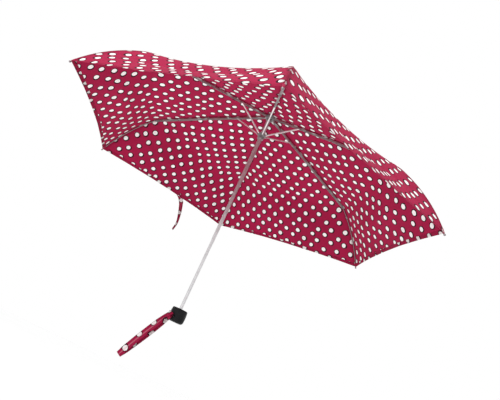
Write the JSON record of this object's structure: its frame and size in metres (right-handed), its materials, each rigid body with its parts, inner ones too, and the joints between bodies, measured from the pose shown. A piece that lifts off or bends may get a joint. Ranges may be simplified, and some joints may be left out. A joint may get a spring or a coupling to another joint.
{
  "type": "folding umbrella",
  "caption": "Small telescopic folding umbrella with a spotted panel canopy, jointed folding ribs, short cup handle and wrist loop.",
  "frame": {"origin": "centre of the handle, on the shaft's axis, where a hand holds it", "axes": "+Z along the shaft from the handle to the crown; one rib lies along +Y and one along -Y"},
  "size_m": [0.7666, 0.8848, 0.6454],
  "materials": {
    "canopy_cloth": "woven polyester with pale spots",
    "strap_cloth": "folded woven polyester with pale spots",
    "black_plastic": "matte, slightly grained",
    "shaft_metal": "bright satin tube",
    "pale_plastic": "mid grey moulded",
    "rib_steel": "pressed and plated",
    "wire_steel": "drawn and plated"
  },
  "bodies": {
    "handle": {"handle_grip": "black_plastic", "handle_plug": "black_plastic", "handle_rivet": "wire_steel", "loop_staple": "black_plastic", "lower_tube": "shaft_metal"},
    "wrist_loop": {"wrist_loop": "strap_cloth"},
    "lower_catch": {"lower_catch": "wire_steel"},
    "middle_tube": {"middle_tube": "shaft_metal"},
    "middle_catch": {"middle_catch": "wire_steel"},
    "upper_tube": {"upper_tube": "shaft_metal", "top_notch": "pale_plastic", "notch_ring": "wire_steel", "top_cap": "pale_plastic"},
    "runner_catch": {"runner_catch": "wire_steel"},
    "runner": {"runner": "pale_plastic", "runner_hub": "pale_plastic", "runner_ring": "wire_steel"},
    "closing_strap": {"closing_strap": "strap_cloth"},
    "top_rib_1": {"top_rib_1": "rib_steel"},
    "strut_1": {"strut_1": "rib_steel"},
    "middle_rib_1": {"middle_rib_1": "rib_steel"},
    "end_rib_1": {"end_rib_1": "wire_steel"},
    "canopy_top_1": {"canopy_top_1": "canopy_cloth"},
    "canopy_middle_1": {"canopy_middle_1": "canopy_cloth"},
    "canopy_hem_1": {"canopy_hem_1": "canopy_cloth"},
    "top_rib_2": {"top_rib_2": "rib_steel"},
    "strut_2": {"strut_2": "rib_steel"},
    "middle_rib_2": {"middle_rib_2": "rib_steel"},
    "end_rib_2": {"end_rib_2": "wire_steel"},
    "canopy_top_2": {"canopy_top_2": "canopy_cloth"},
    "canopy_middle_2": {"canopy_middle_2": "canopy_cloth"},
    "canopy_hem_2": {"canopy_hem_2": "canopy_cloth"},
    "top_rib_3": {"top_rib_3": "rib_steel"},
    "strut_3": {"strut_3": "rib_steel"},
    "middle_rib_3": {"middle_rib_3": "rib_steel"},
    "end_rib_3": {"end_rib_3": "wire_steel"},
    "canopy_top_3": {"canopy_top_3": "canopy_cloth"},
    "canopy_middle_3": {"canopy_middle_3": "canopy_cloth"},
    "canopy_hem_3": {"canopy_hem_3": "canopy_cloth"},
    "top_rib_4": {"top_rib_4": "rib_steel"},
    "strut_4": {"strut_4": "rib_steel"},
    "middle_rib_4": {"middle_rib_4": "rib_steel"},
    "end_rib_4": {"end_rib_4": "wire_steel"},
    "canopy_top_4": {"canopy_top_4": "canopy_cloth"},
    "canopy_middle_4": {"canopy_middle_4": "canopy_cloth"},
    "canopy_hem_4": {"canopy_hem_4": "canopy_cloth"},
    "top_rib_5": {"top_rib_5": "rib_steel"},
    "strut_5": {"strut_5": "rib_steel"},
    "middle_rib_5": {"middle_rib_5": "rib_steel"},
    "end_rib_5": {"end_rib_5": "wire_steel"},
    "canopy_top_5": {"canopy_top_5": "canopy_cloth"},
    "canopy_middle_5": {"canopy_middle_5": "canopy_cloth"},
    "canopy_hem_5": {"canopy_hem_5": "canopy_cloth"},
    "top_rib_6": {"top_rib_6": "rib_steel"},
    "strut_6": {"strut_6": "rib_steel"},
    "middle_rib_6": {"middle_rib_6": "rib_steel"},
    "end_rib_6": {"end_rib_6": "wire_steel"},
    "canopy_top_6": {"canopy_top_6": "canopy_cloth"},
    "canopy_middle_6": {"canopy_middle_6": "canopy_cloth"},
    "canopy_hem_6": {"canopy_hem_6": "canopy_cloth"}
  },
  "joints": [
    {"name": "middle_slide", "type": "slide", "parent": "handle", "child": "middle_tube", "axis": [0, 0, 1], "range_m": [-0.1595, 0], "deforming": ["lower_catch"]},
    {"name": "upper_slide", "type": "slide", "parent": "middle_tube", "child": "upper_tube", "axis": [0, 0, 1], "range_m": [-0.1585, 0], "deforming": ["middle_catch"]},
    {"name": "runner_slide", "type": "slide", "parent": "upper_tube", "child": "runner", "axis": [0, 0, 1], "range_m": [-0.10883, 0], "deforming": ["runner_catch"]},
    {"name": "lower_catch_press", "type": "slide", "parent": "handle", "child": "lower_catch", "axis": [-1, 0, 0], "range_m": [0, 0.0006]},
    {"name": "middle_catch_press", "type": "slide", "parent": "middle_tube", "child": "middle_catch", "axis": [-1, 0, 0], "range_m": [0, 0.0006]},
    {"name": "runner_catch_press", "type": "slide", "parent": "upper_tube", "child": "runner_catch", "axis": [-1, 0, 0], "range_m": [0, 0.0009], "stiffness_N_per_m": 300},
    {"name": "wrist_loop_swing", "type": "hinge", "parent": "handle", "child": "wrist_loop", "pos_m": [-0.01324, -0.01694, -0.001], "axis": [0.7142, -0.558, -0.4226], "range_deg": [-140, 5]},
    {"name": "top_rib_1_fold", "type": "hinge", "parent": "upper_tube", "child": "top_rib_1", "pos_m": [-0.00693, -0.004, 0.505], "axis": [0.5, -0.866, 0], "range_deg": [0, 75.71]},
    {"name": "strut_1_fold", "type": "hinge", "parent": "top_rib_1", "child": "strut_1", "pos_m": [-0.07181, -0.04146, 0.48951], "axis": [0.5, -0.866, 0], "range_deg": [-138.54, 0]},
    {"name": "middle_rib_1_fold", "type": "hinge", "parent": "top_rib_1", "child": "middle_rib_1", "pos_m": [-0.1416, -0.08175, 0.47655], "axis": [0.5, -0.866, 0], "range_deg": [-177.93, 0]},
    {"name": "end_rib_1_fold", "type": "hinge", "parent": "middle_rib_1", "child": "end_rib_1", "pos_m": [-0.27704, -0.15995, 0.43951], "axis": [0.5, -0.866, 0], "range_deg": [0, 147.48]},
    {"name": "canopy_top_1_fold", "type": "hinge", "parent": "upper_tube", "child": "canopy_top_1", "pos_m": [-0.00779, 0, 0.5104], "axis": [0, -1, 0], "range_deg": [0, 74.39], "deforming": ["canopy_top_1"]},
    {"name": "canopy_middle_1_fold", "type": "hinge", "parent": "canopy_top_1", "child": "canopy_middle_1", "pos_m": [-0.14201, 0, 0.4791], "axis": [0, -1, 0], "range_deg": [-179.24, 0], "deforming": ["canopy_middle_1"]},
    {"name": "canopy_hem_1_fold", "type": "hinge", "parent": "canopy_middle_1", "child": "canopy_hem_1", "pos_m": [-0.27768, 0, 0.44313], "axis": [0, -1, 0], "range_deg": [0, 146.13], "deforming": ["canopy_hem_1"]},
    {"name": "top_rib_2_fold", "type": "hinge", "parent": "upper_tube", "child": "top_rib_2", "pos_m": [-0.00693, 0.004, 0.505], "axis": [-0.5, -0.866, 0], "range_deg": [0, 75.71]},
    {"name": "strut_2_fold", "type": "hinge", "parent": "top_rib_2", "child": "strut_2", "pos_m": [-0.07181, 0.04146, 0.48951], "axis": [-0.5, -0.866, 0], "range_deg": [-138.54, 0]},
    {"name": "middle_rib_2_fold", "type": "hinge", "parent": "top_rib_2", "child": "middle_rib_2", "pos_m": [-0.1416, 0.08175, 0.47655], "axis": [-0.5, -0.866, 0], "range_deg": [-177.93, 0]},
    {"name": "end_rib_2_fold", "type": "hinge", "parent": "middle_rib_2", "child": "end_rib_2", "pos_m": [-0.27704, 0.15995, 0.43951], "axis": [-0.5, -0.866, 0], "range_deg": [0, 147.48]},
    {"name": "canopy_top_2_fold", "type": "hinge", "parent": "upper_tube", "child": "canopy_top_2", "pos_m": [-0.0039, 0.00675, 0.5104], "axis": [-0.866, -0.5, 0], "range_deg": [0, 74.39], "deforming": ["canopy_top_2"]},
    {"name": "canopy_middle_2_fold", "type": "hinge", "parent": "canopy_top_2", "child": "canopy_middle_2", "pos_m": [-0.07101, 0.12299, 0.4791], "axis": [-0.866, -0.5, 0], "range_deg": [-179.24, 0], "deforming": ["canopy_middle_2"]},
    {"name": "canopy_hem_2_fold", "type": "hinge", "parent": "canopy_middle_2", "child": "canopy_hem_2", "pos_m": [-0.13884, 0.24048, 0.44313], "axis": [-0.866, -0.5, 0], "range_deg": [0, 146.13], "deforming": ["canopy_hem_2"]},
    {"name": "top_rib_3_fold", "type": "hinge", "parent": "upper_tube", "child": "top_rib_3", "pos_m": [0, 0.008, 0.505], "axis": [-1, 0, 0], "range_deg": [0, 75.71]},
    {"name": "strut_3_fold", "type": "hinge", "parent": "top_rib_3", "child": "strut_3", "pos_m": [0, 0.08292, 0.48951], "axis": [-1, 0, 0], "range_deg": [-138.54, 0]},
    {"name": "middle_rib_3_fold", "type": "hinge", "parent": "top_rib_3", "child": "middle_rib_3", "pos_m": [0, 0.16351, 0.47655], "axis": [-1, 0, 0], "range_deg": [-177.93, 0]},
    {"name": "end_rib_3_fold", "type": "hinge", "parent": "middle_rib_3", "child": "end_rib_3", "pos_m": [0, 0.31989, 0.43951], "axis": [-1, 0, 0], "range_deg": [0, 147.48]},
    {"name": "canopy_top_3_fold", "type": "hinge", "parent": "upper_tube", "child": "canopy_top_3", "pos_m": [0.0039, 0.00675, 0.5104], "axis": [-0.866, 0.5, 0], "range_deg": [0, 74.39], "deforming": ["canopy_top_3"]},
    {"name": "canopy_middle_3_fold", "type": "hinge", "parent": "canopy_top_3", "child": "canopy_middle_3", "pos_m": [0.07101, 0.12299, 0.4791], "axis": [-0.866, 0.5, 0], "range_deg": [-179.24, 0], "deforming": ["canopy_middle_3"]},
    {"name": "canopy_hem_3_fold", "type": "hinge", "parent": "canopy_middle_3", "child": "canopy_hem_3", "pos_m": [0.13884, 0.24048, 0.44313], "axis": [-0.866, 0.5, 0], "range_deg": [0, 146.13], "deforming": ["canopy_hem_3"]},
    {"name": "top_rib_4_fold", "type": "hinge", "parent": "upper_tube", "child": "top_rib_4", "pos_m": [0.00693, 0.004, 0.505], "axis": [-0.5, 0.866, 0], "range_deg": [0, 75.71]},
    {"name": "strut_4_fold", "type": "hinge", "parent": "top_rib_4", "child": "strut_4", "pos_m": [0.07181, 0.04146, 0.48951], "axis": [-0.5, 0.866, 0], "range_deg": [-138.54, 0]},
    {"name": "middle_rib_4_fold", "type": "hinge", "parent": "top_rib_4", "child": "middle_rib_4", "pos_m": [0.1416, 0.08175, 0.47655], "axis": [-0.5, 0.866, 0], "range_deg": [-177.93, 0]},
    {"name": "end_rib_4_fold", "type": "hinge", "parent": "middle_rib_4", "child": "end_rib_4", "pos_m": [0.27704, 0.15995, 0.43951], "axis": [-0.5, 0.866, 0], "range_deg": [0, 147.48]},
    {"name": "canopy_top_4_fold", "type": "hinge", "parent": "upper_tube", "child": "canopy_top_4", "pos_m": [0.00779, 0, 0.5104], "axis": [0, 1, 0], "range_deg": [0, 74.39], "deforming": ["canopy_top_4"]},
    {"name": "canopy_middle_4_fold", "type": "hinge", "parent": "canopy_top_4", "child": "canopy_middle_4", "pos_m": [0.14201, 0, 0.4791], "axis": [0, 1, 0], "range_deg": [-179.24, 0], "deforming": ["canopy_middle_4"]},
    {"name": "canopy_hem_4_fold", "type": "hinge", "parent": "canopy_middle_4", "child": "canopy_hem_4", "pos_m": [0.27768, 0, 0.44313], "axis": [0, 1, 0], "range_deg": [0, 146.13], "deforming": ["canopy_hem_4"]},
    {"name": "top_rib_5_fold", "type": "hinge", "parent": "upper_tube", "child": "top_rib_5", "pos_m": [0.00693, -0.004, 0.505], "axis": [0.5, 0.866, 0], "range_deg": [0, 75.71]},
    {"name": "strut_5_fold", "type": "hinge", "parent": "top_rib_5", "child": "strut_5", "pos_m": [0.07181, -0.04146, 0.48951], "axis": [0.5, 0.866, 0], "range_deg": [-138.54, 0]},
    {"name": "middle_rib_5_fold", "type": "hinge", "parent": "top_rib_5", "child": "middle_rib_5", "pos_m": [0.1416, -0.08175, 0.47655], "axis": [0.5, 0.866, 0], "range_deg": [-177.93, 0]},
    {"name": "end_rib_5_fold", "type": "hinge", "parent": "middle_rib_5", "child": "end_rib_5", "pos_m": [0.27704, -0.15995, 0.43951], "axis": [0.5, 0.866, 0], "range_deg": [0, 147.48]},
    {"name": "canopy_top_5_fold", "type": "hinge", "parent": "upper_tube", "child": "canopy_top_5", "pos_m": [0.0039, -0.00675, 0.5104], "axis": [0.866, 0.5, 0], "range_deg": [0, 74.39], "deforming": ["canopy_top_5"]},
    {"name": "canopy_middle_5_fold", "type": "hinge", "parent": "canopy_top_5", "child": "canopy_middle_5", "pos_m": [0.07101, -0.12299, 0.4791], "axis": [0.866, 0.5, 0], "range_deg": [-179.24, 0], "deforming": ["canopy_middle_5"]},
    {"name": "canopy_hem_5_fold", "type": "hinge", "parent": "canopy_middle_5", "child": "canopy_hem_5", "pos_m": [0.13884, -0.24048, 0.44313], "axis": [0.866, 0.5, 0], "range_deg": [0, 146.13], "deforming": ["canopy_hem_5"]},
    {"name": "top_rib_6_fold", "type": "hinge", "parent": "upper_tube", "child": "top_rib_6", "pos_m": [0, -0.008, 0.505], "axis": [1, 0, 0], "range_deg": [0, 75.71]},
    {"name": "strut_6_fold", "type": "hinge", "parent": "top_rib_6", "child": "strut_6", "pos_m": [0, -0.08292, 0.48951], "axis": [1, 0, 0], "range_deg": [-138.54, 0]},
    {"name": "middle_rib_6_fold", "type": "hinge", "parent": "top_rib_6", "child": "middle_rib_6", "pos_m": [0, -0.16351, 0.47655], "axis": [1, 0, 0], "range_deg": [-177.93, 0]},
    {"name": "end_rib_6_fold", "type": "hinge", "parent": "middle_rib_6", "child": "end_rib_6", "pos_m": [0, -0.31989, 0.43951], "axis": [1, 0, 0], "range_deg": [0, 147.48]},
    {"name": "canopy_top_6_fold", "type": "hinge", "parent": "upper_tube", "child": "canopy_top_6", "pos_m": [-0.0039, -0.00675, 0.5104], "axis": [0.866, -0.5, 0], "range_deg": [0, 74.39], "deforming": ["canopy_top_6"]},
    {"name": "canopy_middle_6_fold", "type": "hinge", "parent": "canopy_top_6", "child": "canopy_middle_6", "pos_m": [-0.07101, -0.12299, 0.4791], "axis": [0.866, -0.5, 0], "range_deg": [-179.24, 0], "deforming": ["canopy_middle_6"]},
    {"name": "canopy_hem_6_fold", "type": "hinge", "parent": "canopy_middle_6", "child": "canopy_hem_6", "pos_m": [-0.13884, -0.24048, 0.44313], "axis": [0.866, -0.5, 0], "range_deg": [0, 146.13], "deforming": ["canopy_hem_6"]},
    {"name": "closing_strap_fall", "type": "hinge", "parent": "canopy_hem_2", "child": "closing_strap", "pos_m": [-0.20948, 0.30274, 0.35602], "axis": [-0.866, -0.5, 0], "range_deg": [-41.28, 0], "deforming": ["closing_strap"]}
  ],
  "couplings": [
    {"joint": "lower_catch_press", "follows": "middle_slide", "ratio": -0.003448},
    {"joint": "middle_catch_press", "follows": "upper_slide", "ratio": -0.00347},
    {"joint": "top_rib_1_fold", "follows": "runner_slide", "rad_per_m": -12.139},
    {"joint": "strut_1_fold", "follows": "runner_slide", "rad_per_m": 22.215},
    {"joint": "middle_rib_1_fold", "follows": "runner_slide", "rad_per_m": 28.532},
    {"joint": "end_rib_1_fold", "follows": "runner_slide", "rad_per_m": -23.648},
    {"joint": "canopy_top_1_fold", "follows": "runner_slide", "rad_per_m": -11.928},
    {"joint": "canopy_middle_1_fold", "follows": "runner_slide", "rad_per_m": 28.743},
    {"joint": "canopy_hem_1_fold", "follows": "runner_slide", "rad_per_m": -23.432},
    {"joint": "top_rib_2_fold", "follows": "runner_slide", "rad_per_m": -12.139},
    {"joint": "strut_2_fold", "follows": "runner_slide", "rad_per_m": 22.215},
    {"joint": "middle_rib_2_fold", "follows": "runner_slide", "rad_per_m": 28.532},
    {"joint": "end_rib_2_fold", "follows": "runner_slide", "rad_per_m": -23.648},
    {"joint": "canopy_top_2_fold", "follows": "runner_slide", "rad_per_m": -11.928},
    {"joint": "canopy_middle_2_fold", "follows": "runner_slide", "rad_per_m": 28.743},
    {"joint": "canopy_hem_2_fold", "follows": "runner_slide", "rad_per_m": -23.432},
    {"joint": "top_rib_3_fold", "follows": "runner_slide", "rad_per_m": -12.139},
    {"joint": "strut_3_fold", "follows": "runner_slide", "rad_per_m": 22.215},
    {"joint": "middle_rib_3_fold", "follows": "runner_slide", "rad_per_m": 28.532},
    {"joint": "end_rib_3_fold", "follows": "runner_slide", "rad_per_m": -23.648},
    {"joint": "canopy_top_3_fold", "follows": "runner_slide", "rad_per_m": -11.928},
    {"joint": "canopy_middle_3_fold", "follows": "runner_slide", "rad_per_m": 28.743},
    {"joint": "canopy_hem_3_fold", "follows": "runner_slide", "rad_per_m": -23.432},
    {"joint": "top_rib_4_fold", "follows": "runner_slide", "rad_per_m": -12.139},
    {"joint": "strut_4_fold", "follows": "runner_slide", "rad_per_m": 22.215},
    {"joint": "middle_rib_4_fold", "follows": "runner_slide", "rad_per_m": 28.532},
    {"joint": "end_rib_4_fold", "follows": "runner_slide", "rad_per_m": -23.648},
    {"joint": "canopy_top_4_fold", "follows": "runner_slide", "rad_per_m": -11.928},
    {"joint": "canopy_middle_4_fold", "follows": "runner_slide", "rad_per_m": 28.743},
    {"joint": "canopy_hem_4_fold", "follows": "runner_slide", "rad_per_m": -23.432},
    {"joint": "top_rib_5_fold", "follows": "runner_slide", "rad_per_m": -12.139},
    {"joint": "strut_5_fold", "follows": "runner_slide", "rad_per_m": 22.215},
    {"joint": "middle_rib_5_fold", "follows": "runner_slide", "rad_per_m": 28.532},
    {"joint": "end_rib_5_fold", "follows": "runner_slide", "rad_per_m": -23.648},
    {"joint": "canopy_top_5_fold", "follows": "runner_slide", "rad_per_m": -11.928},
    {"joint": "canopy_middle_5_fold", "follows": "runner_slide", "rad_per_m": 28.743},
    {"joint": "canopy_hem_5_fold", "follows": "runner_slide", "rad_per_m": -23.432},
    {"joint": "top_rib_6_fold", "follows": "runner_slide", "rad_per_m": -12.139},
    {"joint": "strut_6_fold", "follows": "runner_slide", "rad_per_m": 22.215},
    {"joint": "middle_rib_6_fold", "follows": "runner_slide", "rad_per_m": 28.532},
    {"joint": "end_rib_6_fold", "follows": "runner_slide", "rad_per_m": -23.648},
    {"joint": "canopy_top_6_fold", "follows": "runner_slide", "rad_per_m": -11.928},
    {"joint": "canopy_middle_6_fold", "follows": "runner_slide", "rad_per_m": 28.743},
    {"joint": "canopy_hem_6_fold", "follows": "runner_slide", "rad_per_m": -23.432},
    {"joint": "closing_strap_fall", "follows": "runner_slide", "rad_per_m": 6.6165}
  ]
}
